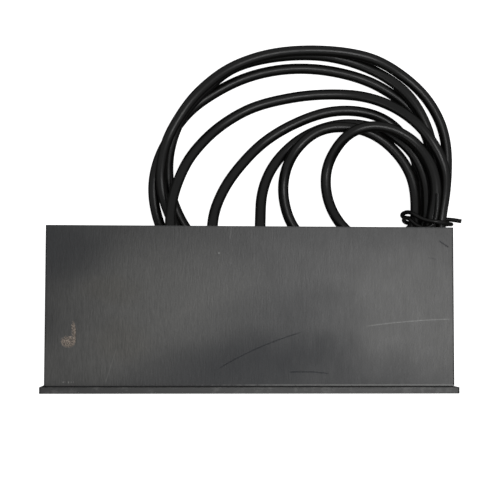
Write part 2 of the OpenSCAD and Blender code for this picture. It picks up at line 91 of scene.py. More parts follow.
# Fields in the case's paint, in millimetres: centre, radii, turn in degrees, strength
# Lighter fields: partly paler paint, partly a painted sheen of the soft light, strongest right of centre
PALE_FIELDS_AND_SHEEN = (
    ((-39, 0), (56, 38), 0, 0.85),
    ((74, -3), (52, 36), 0, 0.6),
    ((-80, -25), (34, 18), 0, 0.5),
)
# Darker fields: blue-black clouds in the paint, partly painted shade, darkest along the left edge of the
# top
DARK_FIELDS = (
    ((12, -33), (82, 26), 0, 0.62),
    ((6, -13), (58, 25), 12, 0.34),
    ((-92, 28), (40, 22), 0, 0.6),
    ((52, 38), (70, 14), 0, 0.16),
)
BROWN_FIELDS = (
    ((-62, 8), (18, 9), 0, 1.0),
    ((-56, -14), (16, 12), 0, 1.0),
)

# Scratches on the case, in millimetres: start, end, half width, bow, strength
PALE_SCRATCHES = (
    ((50, -7.4), (90, -4), 0.30, 0.6, 1.0),
    ((-64, -33), (-59, -17), 0.35, 0.0, 0.5),
    ((-9.6, 31), (-8.6, 37), 0.35, 0.0, 0.6),
)
DARK_SCRATCHES = (
    ((-15.9, -27.0), (23.8, -9.6), 0.32, 1.6, 1.0),
    ((16, -27.7), (35, -28.4), 0.4, 0.6, 1.0),
    ((83.8, 31), (88.3, 28), 0.35, 0.0, 1.4),
    ((79, 23.5), (82.5, 22.8), 0.4, 0.0, 0.6),
)

# Routes in millimetres: each lead from its gland to its plug, and the wire tie from end to end
OUTDOOR_ROUTE = [
    (-36, 31, 25), (-36, 38, 25), (-36, 45, 21), (-35, 53, 17), (-32, 62, 13), (-28, 71, 10),
    (-21, 80, 6.5), (-13, 88, 3), (1, 97, 2.5), (16, 101, 2.5), (30, 103.5, 2.5), (45, 104, 2.5),
    (55, 103, 4), (64, 100, 7), (73, 95, 10), (81, 88, 13), (87, 80, 14), (91, 73, 13.5),
    (93.5, 66, 13), (93.5, 58, 14), (92, 50, 14.5), (90.5, 41, 14.5), (90.5, 33, 12.5), (88, 24, 8),
    (79, 18, 2.5), (66, 16, 2.5), (48, 15, 2.5), (26, 13.5, 2.5), (6, 13, 2.5), (-11, 13, 2.5),
    (-25, 17.5, 2.5), (-35.5, 28, 2.5), (-41.5, 40, 2.5), (-44.5, 52, 2.5), (-44.5, 63, 2.5),
    (-41.5, 74, 2.5), (-36, 84, 2.5), (-28, 95, 2.5), (-18, 102.5, 2.5), (-4, 110.5, 2.5),
    (11, 115, 2.5), (25.5, 116.5, 2.5), (40, 115.5, 2.5), (55, 112, 2.5), (66, 107, 2.5),
    (76, 100, 2.5), (82.5, 92.5, 2.5), (87, 84, 2.5), (89, 75, 2.5), (90, 66, 2.5),
    (89, 56, 3.5), (88.5, 47, 5), (86, 38, 4.2), (81.5, 31.5, 2.5), (72, 28.5, 2.5), (60, 28.5, 2.5),
    (44, 26.5, 2.5), (26, 25, 2.5), (8, 24.5, 2.5), (-6, 25, 2.5), (-18.5, 29, 2.5),
    (-26.5, 35, 2.5), (-31.5, 43, 2.5), (-35.5, 52, 2.5), (-37.5, 62, 3), (-37.5, 72, 5.5),
    (-35.5, 81, 8), (-32, 90, 8), (-25.5, 99, 8), (-17.5, 107, 6.5), (-10, 114, 4.5), (-1, 118.5, 2.5),
    (11, 121.5, 2.5), (25.5, 123, 2.5), (40, 122.5, 2.5), (55, 118.5, 2.5), (66, 113, 3.5),
    (75.5, 105.5, 6.5), (82, 96, 8), (86.5, 86, 8), (88.5, 77, 8), (90.5, 67, 8), (91, 58, 9),
    (91, 49, 9.5), (89.5, 40.5, 9.5), (88, 31.5, 6.5), (81.5, 25, 4), (71, 22, 2.5), (58, 21.5, 2.5),
    (42, 20.5, 2.5), (24, 19.5, 2.5), (6, 18.5, 2.5), (-9, 19, 2.5), (-20, 23.5, 2.5), (-29, 31, 5),
    (-35, 41, 7), (-39, 50.5, 7), (-41, 60, 7), (-40.5, 70, 9.5), (-38, 80, 13), (-33, 89, 13.5),
    (-26.5, 99, 13.5), (-18, 107.5, 11.5), (-8.5, 115, 9.5), (6, 121, 8), (20, 123.5, 8),
    (35, 124, 8), (49.5, 123, 7.5), (62.5, 120, 7), (74, 114, 3.5), (83.5, 106.5, 2.5),
    (90, 98, 2.5), (94.5, 88.5, 2.5), (96.5, 78, 2.5), (96.5, 68, 2.5), (95.5, 57, 3.5), (93.5, 48, 5),
    (92.5, 40, 5), (92.5, 31, 2.5), (92.5, 22.5, 2.5), (88.5, 16, 4.5), (80.5, 14, 9),
    (70, 14.4, 9.8),
]
INDOOR_ROUTE = [
    (-17, 31, 25), (-17, 38, 24.5), (-16, 45, 19.5), (-13.5, 52, 14.5), (-9.5, 60, 10.5),
    (-3, 69, 6), (6, 79, 2.5), (16, 86, 2.5), (26, 91, 2.5), (36.5, 95, 2.5), (48, 96.5, 2.5),
    (60, 95, 2.5), (69.5, 90.5, 2.5), (76, 83.5, 2.5), (80.5, 75.5, 2.5), (83, 66, 2.5),
    (83.5, 56, 3.5), (83, 47.5, 5), (80.5, 41, 5.2), (75.5, 35.5, 2.5), (66, 34, 2.5), (55, 33, 2.5),
    (45, 32, 2.5), (36, 31, 2.5), (27.5, 33, 2.5), (21, 41, 2.5), (18, 50, 2.5), (17, 59, 2.5),
    (18.5, 68, 4.5), (22.5, 76, 8), (30, 83.5, 8), (38, 87, 7.5), (47, 87.5, 7.5), (56, 86, 7.5),
    (65, 81.5, 7), (73, 73.5, 7.5), (78.5, 64, 8), (80, 54.5, 8.5), (79.5, 46, 11.5),
    (78.5, 38.5, 14), (74, 32, 13.5), (66.5, 27.5, 12.5),
    (56, 25.2, 9.8),
]
POWER_ROUTE = [
    (5, 31, 25), (5, 38, 24.5), (5.5, 45, 19.5), (6, 52, 15), (8, 60, 10), (12, 68.5, 5),
    (18.5, 76.5, 2.5), (26.5, 83, 2.5), (36, 87.5, 2.5), (47, 90, 2.5), (58, 89, 2.5), (67.5, 85.5, 4.4),
    (75.5, 79.5, 7.2), (82, 71, 7.7), (85.5, 60.5, 8), (85.5, 51, 9.5), (84.5, 42, 9.5),
    (79.5, 35.5, 8.5), (72, 32.5, 7.5), (64, 31.5, 7.5), (56.5, 32.5, 7.5), (49.5, 35.5, 7.5),
    (43.5, 41.5, 7), (39.5, 49.5, 4), (37.5, 58.5, 2.5), (38, 69, 2.5), (42.5, 78, 7),
    (48, 84, 12.5), (56, 87, 13), (64.5, 87, 13), (73, 84, 12.5), (80, 79, 12.5), (85, 72, 14),
    (88, 63, 16), (88.5, 54, 17), (86.5, 45, 17), (84.5, 36, 17), (81, 28, 15.5), (74, 22.5, 15),
    (65, 20.5, 15), (54, 20, 15.5), (43, 19.5, 15.5), (33, 19.5, 16),
    (24, 20, 14.5),
    (14, 21.5, 10.6),
]
TIE_ROUTE = [
    (88, 54.5, 21), (88, 50, 21), (87.5, 45.5, 21), (87, 42.5, 21), (85.5, 39.5, 21), (82.5, 38, 20.5),
    (79.5, 39, 19), (77.5, 41, 17), (75.5, 43.5, 14.5), (74.5, 44, 10), (74.5, 43, 5), (77, 42, 1.3),
    (81.5, 42, 1), (88, 42, 1), (92, 41.5, 1), (95, 41.5, 1.5), (97, 41.5, 4.5), (97, 41, 9.5),
    (95.5, 40.5, 15), (93, 40.5, 19.5), (89, 41, 23.5), (85, 41, 23.5), (81.5, 42, 21.5),
    (79, 43.5, 19.5), (77, 45.5, 17.5), (75, 46.5, 13.5), (73.5, 46, 9), (74, 45, 4.5),
    (77, 44.5, 1.5), (81.5, 44.5, 1), (88, 44.5, 1), (93, 44, 1), (98, 44, 2), (103, 43, 3.5),
]
OUTDOOR_PLUG, INDOOR_PLUG, POWER_PLUG = OUTDOOR_ROUTE[-1], INDOOR_ROUTE[-1], POWER_ROUTE[-1]


# ---- settings ----


class BoosterCase(bpy.types.PropertyGroup):
    """Colours and wear of the case"""

    paint: FloatVectorProperty(
        name="Paint",
        description="Colour of the satin paint on the case",
        subtype="COLOR",
        size=3,
        default=(0.042, 0.0415, 0.0405),
    )
    # Also the colour of the painted sheen on the top
    pale_paint_and_sheen: FloatVectorProperty(
        name="Pale paint and painted sheen",
        description="Colour of the lighter fields in the paint",
        subtype="COLOR",
        size=3,
        default=(0.100, 0.098, 0.092),
    )
    # Also the colour of the painted shade along the left and rear edges of the top
    dark_clouds_and_shade: FloatVectorProperty(
        name="Dark clouds and painted shade",
        description="Colour of the blue-black clouds in the paint",
        subtype="COLOR",
        size=3,
        default=(0.006, 0.008, 0.012),
    )
    bare_copper: FloatVectorProperty(
        name="Bare metal",
        description="Colour of the primer and metal where the paint has worn off",
        subtype="COLOR",
        size=3,
        default=(0.52, 0.42, 0.34),
    )
    edge_round: FloatProperty(
        name="Edge rounding",
        description="Radius of the broken edges of the metal parts",
        unit="LENGTH",
        min=0.0,
        default=0.25 * MM,
    )


class BoosterLeads(bpy.types.PropertyGroup):
    """Sizes and colours of the leads"""

    jacket_width: FloatProperty(
        name="Jacket diameter",
        description="Outer diameter of the three leads",
        unit="LENGTH",
        min=0.004,
        max=0.006,
        default=5.0 * MM,
    )
    tie_width: FloatProperty(
        name="Tie diameter",
        description="Diameter of the wire that ties the leads together",
        unit="LENGTH",
        min=0.001,
        max=0.003,
        default=2.0 * MM,
    )
    jacket: FloatVectorProperty(
        name="Jacket",
        description="Colour of the satin jacket",
        subtype="COLOR",
        size=3,
        default=(0.0045, 0.0043, 0.0037),
    )


class BoosterStudio(bpy.types.PropertyGroup):
    """The camera and the light"""

    camera_place: FloatVectorProperty(
        name="Camera",
        description="Where the camera stands",
        subtype="TRANSLATION",
        unit="LENGTH",
        size=3,
        default=(-30.34 * MM, -6.88 * MM, 593.0 * MM),
    )
    camera_turn: FloatVectorProperty(
        name="Camera turn",
        description="Rotation of the camera",
        subtype="EULER",
        size=3,
        default=(0.06004, -0.05417, 0.00212),
    )
    lens: FloatProperty(
        name="Lens",
        description="Focal length of the camera, in millimetres",
        min=20.0,
        default=89.78,
    )
    sky: FloatProperty(
        name="Surrounding light",
        description="Strength of the soft light from above and all round",
        min=0.0,
        default=0.36,
    )


# ---- shader arithmetic ----


class Wire:
    """A node's output. Each operator adds the Math node that works it out."""

    def __init__(self, finish, socket):
        self.finish = finish
        self.socket = socket

    def __add__(self, other):
        return self.finish.math("ADD", self, other)

    __radd__ = __add__

    def __sub__(self, other):
        return self.finish.math("SUBTRACT", self, other)

    def __rsub__(self, other):
        return self.finish.math("SUBTRACT", other, self)

    def __mul__(self, other):
        return self.finish.math("MULTIPLY", self, other)

    __rmul__ = __mul__

    def __truediv__(self, other):
        return self.finish.math("DIVIDE", self, other)

    def __rtruediv__(self, other):
        return self.finish.math("DIVIDE", other, self)

    def __abs__(self):
        return self.finish.math("ABSOLUTE", self)


class Finish:
    """A material, with the methods that add nodes to it."""

    def __init__(self, name, **values):
        self.material = bpy.data.materials.new(name)
        self.material.use_nodes = True
        self.tree = self.material.node_tree
        self.shader = self.tree.nodes["Principled BSDF"]
        for socket, value in values.items():
            self.feed(self.shader.inputs[socket.replace("_", " ")], value)

    def feed(self, socket, value):
        """Links a wire to a socket, or sets the socket's own value."""
        if isinstance(value, Wire):
            self.tree.links.new(value.socket, socket)
        elif socket.type == "RGBA" and len(value) == 3:
            socket.default_value = (*value, 1.0)
        else:
            socket.default_value = value

    def add(self, kind, settings=None, inputs=None, out=0):
        """Adds a node of that type: its settings first, then its sockets. Returns one output."""
        node = self.tree.nodes.new("ShaderNode" + kind)
        for name, value in (settings or {}).items():
            setattr(node, name, value)
        for name, value in (inputs or {}).items():
            self.feed(node.inputs[name], value)
        return Wire(self, node.outputs[out])

    def math(self, operation, *values):
        return self.add("Math", {"operation": operation}, dict(enumerate(values)))

    def vector(self, operation, *values):
        return self.add("VectorMath", {"operation": operation}, dict(enumerate(values)))

    def mix(self, mask, first, second):
        """The first colour where the mask is 0 and the second where it is 1."""
        return self.add("Mix", {"data_type": "RGBA"}, {0: mask, 6: first, 7: second}, out=2)

    def place(self):
        """The point on the object, in metres."""
        return self.add("TexCoord", out="Object")

    def axes(self, point):
        split = self.add("SeparateXYZ", inputs={0: point})
        outputs = split.socket.node.outputs
        return [Wire(self, outputs[i]) for i in range(3)]

    def noise(self, point, size, stretch=(1, 1, 1), detail=3.0, rough=0.5):
        """Noise from 0 to 1, with features about size metres across, drawn out by stretch."""
        scale = tuple(1.0 / (size * s) for s in stretch)
        scaled = self.vector("MULTIPLY", point, scale)
        inputs = {"Vector": scaled, "Scale": 1.0, "Detail": detail, "Roughness": rough}
        return self.add("TexNoise", inputs=inputs)

    def between(self, value, low, high):
        """0 up to low, 1 from high, and a smooth step in between."""
        settings = {"interpolation_type": "SMOOTHSTEP"}
        return self.add("MapRange", settings, {"Value": value, "From Min": low, "From Max": high})

    def blob(self, x, y, centre, radii, turn=0.0):
        """A soft spot, 1 at its centre and 0 outside its radii, in metres, turned in degrees."""
        c, s = math.cos(math.radians(turn)), math.sin(math.radians(turn))
        dx, dy = x - centre[0], y - centre[1]
        along = (dx * c + dy * s) / radii[0]
        across = (dy * c - dx * s) / radii[1]
        return self.between(along * along + across * across, 1.0, 0.0)

    def streak(self, x, y, start, end, width, bend=0.0):
        """A thin mark from start to end, in metres, that bows sideways by bend."""
        length = math.dist(start, end)
        ux, uy = (end[0] - start[0]) / length, (end[1] - start[1]) / length
        along = (x - start[0]) * ux + (y - start[1]) * uy
        share = along / length
        bow = share * (1.0 - share) * 4.0 * bend
        across = (y - start[1]) * ux - (x - start[0]) * uy - bow
        line = self.between(abs(across), width, width * 0.35)
        fade = self.between(share * (1.0 - share), 0.0, 0.1)
        return line * fade

    def fields(self, x, y, spots):
        """The sum of soft spots, each given in millimetres."""
        total = 0.0
        for centre, radii, turn, strength in spots:
            centre, radii = [v * MM for v in centre], [v * MM for v in radii]
            total = total + self.blob(x, y, centre, radii, turn) * strength
        return total

    def scratches(self, x, y, marks):
        """The sum of thin marks, each given in millimetres."""
        total = 0.0
        for start, end, width, bow, strength in marks:
            start, end = [v * MM for v in start], [v * MM for v in end]
            total = total + self.streak(x, y, start, end, width * MM, bow * MM) * strength
        return total

    def bump(self, height, depth):
        """Lets height, from 0 to 1, raise the surface by depth metres."""
        normal = self.add("Bump", inputs={"Height": height, "Distance": depth, "Strength": 1.0})
        self.feed(self.shader.inputs["Normal"], normal)

    def set(self, socket, value):
        self.feed(self.shader.inputs[socket], value)


# ---- finishes ----


def case_paint(settings):
    """Satin paint over an extrusion: lengthwise grain, dark clouds, scratches and a worn spot, with a
    painted sheen on the top, painted shade along its left and rear edges and a painted highlight along
    its front edge.
    """
    f = Finish("case_paint", IOR=1.5)
    point = f.place()
    x, y, z = f.axes(point)
    top = f.between(z, CASE_HIGH.z - 1.2 * MM, CASE_HIGH.z - 0.3 * MM)

    clouds = f.noise(point, 30 * MM, detail=4.0)
    mottle = f.noise(point, 6 * MM, stretch=(1, 2.0, 1), detail=4.0, rough=0.6)
    grain = f.noise(point, 0.45 * MM, stretch=(1, 6, 1), detail=2.0)
    fibre = f.noise(point, 1.1 * MM, stretch=(1, 9, 1), detail=3.0)

    wander = (clouds - 0.5) * 16 * MM
    xs, ys = x + wander, y + wander
    # Lighter fields, which partly paint in the sheen of the soft light on the top
    bright = f.fields(xs, ys, PALE_FIELDS_AND_SHEEN)
    tone = f.mix(f.math("MINIMUM", bright, 1.0), settings.paint, settings.pale_paint_and_sheen)
    # Painted shade: a darker line along the rear edge of the top, where the edge turns down away from
    # the light
    rear = f.between(y, CASE_HIGH.y - 0.7 * MM, CASE_HIGH.y - 0.3 * MM) * 0.5
    # Darker clouds, partly painted shade at the left edge, together with the painted rear-edge shade
    dark = f.math("MINIMUM", (f.fields(xs, ys, DARK_FIELDS) + rear) * top, 1.0)
    tone = f.mix(dark, tone, settings.dark_clouds_and_shade)
    brown = f.fields(xs, ys, BROWN_FIELDS)
    tone = f.mix(brown * top * 0.3, tone, (0.070, 0.062, 0.046))

    light = 0.90 + (mottle - 0.5) * 0.30 + (grain - 0.5) * 0.75 + (fibre - 0.5) * 0.48
    light = light + (clouds - 0.5) * 0.3
    shaded = f.add("HueSaturation", inputs={"Value": light, "Color": tone})

    pale = f.scratches(x, y, PALE_SCRATCHES)
    pale = pale + f.blob(x, y, (-14.3 * MM, 24.9 * MM), (0.55 * MM, 0.45 * MM)) * 2.4
    chips = f.blob(x, y, (-80 * MM, -31.9 * MM), (3.2 * MM, 0.6 * MM)) * f.between(grain, 0.42, 0.56)
    pale = pale + chips * 3.5
    deep = f.scratches(x, y, DARK_SCRATCHES)
    shaded = f.mix(f.math("MINIMUM", pale * top * 0.18, 1.0), shaded, (0.42, 0.42, 0.40))
    shaded = f.mix(f.math("MINIMUM", deep * top * 0.45, 1.0), shaded, (0.012, 0.014, 0.018))

    flakes = f.noise(point, 0.7 * MM, detail=6.0, rough=0.95)
    ragged = (flakes - 0.5) * 2.6 * MM
    scuff = f.blob(x + ragged, y - ragged, (-80 * MM, -14.4 * MM), (4.1 * MM, 3.3 * MM))
    trail = f.blob(x + ragged, y, (-77.6 * MM, -9.4 * MM), (1.2 * MM, 5.6 * MM), turn=6)
    worn = f.between(scuff + trail * 0.9 + (flakes - 0.5) * 1.2, 0.20, 0.75) * top
    copper = f.mix(f.between(flakes, 0.45, 0.60), (0.060, 0.048, 0.036), settings.bare_copper)
    shaded = f.mix(worn * 0.85, shaded, copper)

    edge = f.between(z, CASE_HIGH.z - 1.1 * MM, CASE_HIGH.z - 0.5 * MM)
    # Painted highlight along the front edge of the top, stronger to the right, standing in for the light
    # caught by a rounded edge; partly also worn paint
    edge_highlight_and_wear = f.between(y, CASE_LOW.y + 0.9 * MM, CASE_LOW.y + 0.4 * MM) * edge
    edge_highlight_and_wear = edge_highlight_and_wear * f.between(clouds * 0.4 + fibre * 0.3 + x * 4.0, 0.22, 0.5)
    shaded = f.mix(edge_highlight_and_wear * 0.5, shaded, (0.32, 0.32, 0.31))

    f.set("Base Color", shaded)
    # Not bare metal: near-black metal reflects less than paint, which darkens a scratch's sheen
    f.set("Metallic", f.math("MINIMUM", deep * top * 0.4, 1.0))
    rough = 0.37 + (mottle - 0.5) * 0.08 + (fibre - 0.5) * 0.08 - pale * top * 0.05
    f.set("Roughness", rough + dark * 0.10 + worn * 0.15)
    f.bump(grain * 0.6 + fibre * 0.4 - deep * top * 0.5 - worn * 0.6, 0.05 * MM)
    return f.material


def plate_paint(settings):
    """Satin paint on the front plate, brushed from side to side."""
    f = Finish("plate_paint", IOR=1.5)
    point = f.place()
    x, y, z = f.axes(point)
    brushed = f.noise(point, 0.5 * MM, stretch=(24, 1, 1), detail=2.0)
    bands = f.noise(point, 1.5 * MM, stretch=(40, 1, 1), detail=2.0)
    clouds = f.noise(point, 24 * MM, detail=3.0)
    light = 0.86 + (brushed - 0.5) * 0.7 + (bands - 0.5) * 0.4 + (clouds - 0.5) * 0.4
    tone = f.add("HueSaturation", inputs={"Value": light, "Color": settings.paint})
    wear = f.between(z, PLATE_HIGH.z - 0.3 * MM, PLATE_HIGH.z)
    wear = wear * f.between(f.noise(point, 7 * MM, detail=5.0, rough=0.7), 0.5, 0.62)
    f.set("Base Color", f.mix(wear * 0.2, tone, (0.25, 0.25, 0.24)))
    f.set("Roughness", 0.42 + (brushed - 0.5) * 0.2)
    f.bump(brushed, 0.02 * MM)
    return f.material


def powder_coat(name, colour, grit=0.5 * MM):
    """Fine textured coat on the rear panel and its screws."""
    f = Finish(name, IOR=1.5)
    point = f.place()
    grains = f.noise(point, grit, detail=3.0, rough=0.6)
    clouds = f.noise(point, 12 * MM, detail=3.0)
    light = 0.85 + (grains - 0.5) * 0.5 + (clouds - 0.5) * 0.4
    f.set("Base Color", f.add("HueSaturation", inputs={"Value": light, "Color": colour}))
    f.set("Roughness", 0.5 + (grains - 0.5) * 0.3)
    f.bump(grains, 0.05 * MM)
    return f.material


def jacket(settings, name="lead_jacket"):
    """Satin PVC, with the drawn-out marks of extrusion, faint dust and rubbed spots."""
    f = Finish(name, IOR=1.48)
    point = f.place()
    flow = f.noise(point, 3.5 * MM, detail=4.0, rough=0.65)
    dust = f.noise(point, 0.45 * MM, detail=3.0, rough=0.7)
    rubbed = f.noise(point, 14 * MM, detail=4.0)
    light = 0.9 + (flow - 0.5) * 0.5 + (rubbed - 0.5) * 0.5
    tone = f.add("HueSaturation", inputs={"Value": light, "Color": settings.jacket})
    motes = f.between(dust, 0.66, 0.74) * f.between(rubbed, 0.45, 0.65)
    f.set("Base Color", f.mix(motes * 0.35, tone, (0.09, 0.088, 0.08)))
    f.set("Roughness", 0.35 + (flow - 0.5) * 0.14 + (rubbed - 0.5) * 0.14)
    f.bump(flow * 0.7 + dust * 0.3, 0.05 * MM)
    return f.material


def moulded(name, colour, roughness, grit=0.35 * MM):
    """Moulded plastic or rubber with a spark-eroded texture and a bloom of wear."""
    f = Finish(name, IOR=1.47)
    point = f.place()
    grains = f.noise(point, grit, detail=3.0, rough=0.6)
    bloom = f.noise(point, 5 * MM, detail=4.0, rough=0.6)
    light = 0.85 + (grains - 0.5) * 0.3 + (bloom - 0.5) * 0.5
    f.set("Base Color", f.add("HueSaturation", inputs={"Value": light, "Color": colour}))
    f.set("Roughness", roughness + (bloom - 0.5) * 0.2 + (grains - 0.5) * 0.1)
    f.bump(grains, 0.03 * MM)
    return f.material


def plated(name, colour, roughness, dull=(0.3, 0.28, 0.25)):
    """Plated or bare metal with fine tool marks and dull handling spots."""
    f = Finish(name, Metallic=1.0)
    point = f.place()
    marks = f.noise(point, 0.25 * MM, detail=2.0)
    spots = f.noise(point, 2.5 * MM, detail=5.0, rough=0.7)
    tone = f.mix(f.between(spots, 0.5, 0.75) * 0.45, colour, dull)
    light = 0.92 + (marks - 0.5) * 0.3
    f.set("Base Color", f.add("HueSaturation", inputs={"Value": light, "Color": tone}))
    f.set("Roughness", roughness + (marks - 0.5) * 0.2 + f.between(spots, 0.5, 0.75) * 0.15)
    f.bump(marks, 0.012 * MM)
    return f.material


def circuit_green():
    """Solder mask over copper: traces on a grid show through as a lighter green."""
    f = Finish("circuit_green", Roughness=0.3, Coat_Weight=0.4, IOR=1.5)
    point = f.place()
    x, y, z = f.axes(point)
    lanes = f.noise(point, 2.2 * MM, stretch=(7, 0.45, 0.45), detail=0.0)
    rows = f.noise(point, 2.2 * MM, stretch=(0.45, 7, 7), detail=0.0)
    traces = f.between(lanes, 0.54, 0.56) + f.between(rows, 0.56, 0.58)
    traces = f.math("MINIMUM", traces, 1.0)
    weave = f.noise(point, 0.4 * MM, detail=1.0)
    tone = f.mix(traces * 0.8, (0.012, 0.10, 0.035), (0.03, 0.22, 0.07))
    f.set("Base Color", tone)
    f.set("Roughness", 0.32 + (weave - 0.5) * 0.15)
    f.bump(traces, 0.04 * MM)
    return f.material


def clear_resin(name, colour):
    """Tinted clear resin with a slight haze."""
    f = Finish(name, Transmission_Weight=0.6, IOR=1.49)
    point = f.place()
    haze = f.noise(point, 1.2 * MM, detail=3.0)
    f.set("Base Color", f.mix(haze * 0.3, colour, tuple(c * 0.6 for c in colour)))
    f.set("Roughness", 0.12 + haze * 0.15)
    return f.material


# ---- geometry ----


def show(name, mesh_or_curve, material):
    """Puts a new piece in the scene, with its finish, riding on the fixed body."""
    piece = bpy.data.objects.new(name, mesh_or_curve)
    bpy.context.scene.collection.objects.link(piece)
    piece.data.materials.append(material)
    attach(piece, BODY)
    return piece


def coat(material, *nodes):
    """Gives CAD nodes a finish."""
    for name in nodes:
        for place in frame["nodes"][name].material_slots:
            place.material = material


def break_edges(width, *nodes):
    """Rounds the sharp edges of CAD nodes, so that they catch the light."""
    for name in nodes:
        piece = frame["nodes"][name]
        weld = piece.modifiers.new("weld", "WELD")
        weld.merge_threshold = 1e-6
        bevel = piece.modifiers.new("edges", "BEVEL")
        bevel.width = width
        bevel.segments = 2
        bevel.limit_method = "ANGLE"
        bevel.angle_limit = BEVEL_ANGLE
        bevel.harden_normals = True


def smooth_line(route, per_span=8):
    """Points in metres along the uniform cubic B-spline of a route in millimetres."""
    p = [Vector(q) * MM for q in route]
    p = [2 * p[0] - p[1], *p, 2 * p[-1] - p[-2]]
    line = []
    for i in range(len(route) - 1):
        a, b, c, d = p[i : i + 4]
        last = i == len(route) - 2
        for k in range(per_span + (1 if last else 0)):
            t = k / per_span
            point = a * (1 - t) ** 3 + b * (3 * t**3 - 6 * t**2 + 4)
            point = point + c * (-3 * t**3 + 3 * t**2 + 3 * t + 1) + d * t**3
            line.append(point / 6)
    return line


def cord_curve(name, route, width, material):
    """A round cord along a route, as a curve of one open spline."""
    line = smooth_line(route)
    curve = bpy.data.curves.new(name, "CURVE")
    curve.dimensions = "3D"
    curve.bevel_depth = width / 2
    curve.bevel_resolution = 6
    curve.use_fill_caps = True
    spline = curve.splines.new("POLY")
    spline.points.add(len(line) - 1)
    for point, place in zip(spline.points, line):
        point.co = (*place, 1.0)
    spline.use_smooth = True
    length = sum((b - a).length for a, b in zip(line, line[1:]))
    return show(name, curve, material), length, line[0]


def lathe(profile, sides=40, crown=None):
    """A mesh turned about Z from (radius, height) pairs. crown(angle, height) scales the radius."""
    mesh = bmesh.new()
    rings = []
    for radius, height in profile:
        ring = []
        for k in range(sides):
            angle = 2 * math.pi * k / sides
            r = radius * (crown(angle, height) if crown else 1.0)
            ring.append(mesh.verts.new((r * math.cos(angle), r * math.sin(angle), height)))
        rings.append(ring)
    for low, high in zip(rings, rings[1:]):
        for k in range(sides):
            n = (k + 1) % sides
            mesh.faces.new((low[k], low[n], high[n], high[k]))
    mesh.faces.new(reversed(rings[0]))
    mesh.faces.new(rings[-1])
    bmesh.ops.recalc_face_normals(mesh, faces=mesh.faces)
    return mesh


def turned_piece(name, mesh, place, axis, material):
    """Finishes a lathe mesh: turns its Z to axis and moves it to place, in metres."""
    turn = Vector((0, 0, 1)).rotation_difference(Vector(axis)).to_matrix().to_4x4()
    bmesh.ops.transform(mesh, matrix=Matrix.Translation(place) @ turn, verts=mesh.verts)
    data = bpy.data.meshes.new(name)
    mesh.to_mesh(data)
    mesh.free()
    data.shade_smooth()
    data.set_sharp_from_angle(angle=SHARP_ANGLE)
    return show(name, data, material)


def fine_thread(radius, pitch, start, end, depth):
    """Profile of a threaded rod: crests at radius and roots depth below them."""
    profile = [(radius - depth, start)]
    turns = int((end - start) / pitch)
    for k in range(turns):
        low = start + k * pitch
        profile += [(radius - depth, low + 0.15 * pitch), (radius, low + 0.45 * pitch)]
        profile += [(radius, low + 0.6 * pitch), (radius - depth, low + 0.9 * pitch)]
    profile += [(radius - depth, end - 0.3 * MM), (radius - depth - 0.3 * MM, end)]
    return profile


def boot_profile(thick, thin, start, end, ribs):
    """Profile of a tapered sleeve with ribs and grooves along its middle."""
    profile = [(thick * 0.86, start), (thick, start + 0.4 * MM)]
    span = (end - start) - 3.0 * MM
    for k in range(ribs):
        low = start + 1.4 * MM + span * k / ribs
        step = span / ribs
        radius = thick + (thin - thick) * (low - start) / (end - start)
        profile += [(radius, low), (radius, low + step * 0.5)]
        profile += [(radius - 0.5 * MM, low + step * 0.62), (radius - 0.5 * MM, low + step * 0.9)]
    profile += [(thin + 0.1 * MM, end - 1.4 * MM), (thin, end - 0.3 * MM), (thin - 0.3 * MM, end)]
    return profile


def bar(mesh, centre, size, turn=0.0):
    """Adds a box to a mesh, turned about Y through its own centre, in degrees."""
    spin = Matrix.Rotation(math.radians(turn), 4, "Y")
    place = Matrix.Translation(centre) @ spin @ Matrix.Diagonal((*size, 1.0))
    bmesh.ops.create_cube(mesh, size=1.0, matrix=place)


def arc(mesh, centre, radius, width, first, last, face_y, thick, steps=28):
    """Adds a flat ring segment that stands on the plane y = face_y, towards -Y."""
    rows = []
    for k in range(steps + 1):
        angle = math.radians(first + (last - first) * k / steps)
        row = []
        for r, y in (
            (radius - width / 2, face_y),
            (radius + width / 2, face_y),
            (radius + width / 2, face_y - thick),
            (radius - width / 2, face_y - thick),
        ):
            x, z = centre[0] + r * math.sin(angle), centre[1] + r * math.cos(angle)
            row.append(mesh.verts.new((x, y, z)))
        rows.append(row)
    for a, b in zip(rows, rows[1:]):
        for k in range(4):
            n = (k + 1) % 4
            mesh.faces.new((a[k], a[n], b[n], b[k]))
    mesh.faces.new(rows[0])
    mesh.faces.new(reversed(rows[-1]))
    bmesh.ops.recalc_face_normals(mesh, faces=mesh.faces)


# ---- operators ----


class BOOSTER_OT_camera(bpy.types.Operator):
    """Put the camera above the booster"""

    bl_idname = "booster.camera"
    bl_label = "Camera"

    def execute(self, context):
        studio = context.scene.booster_studio
        camera = bpy.data.objects.new("camera", bpy.data.cameras.new("camera"))
        context.scene.collection.objects.link(camera)
        camera.location = studio.camera_place
        camera.rotation_euler = studio.camera_turn
        camera.data.lens = studio.lens
        camera.data.sensor_width = SENSOR_WIDTH
        camera.data.clip_start = 0.01
        camera.data.clip_end = 20.0
        context.scene.camera = camera
        return {"FINISHED"}


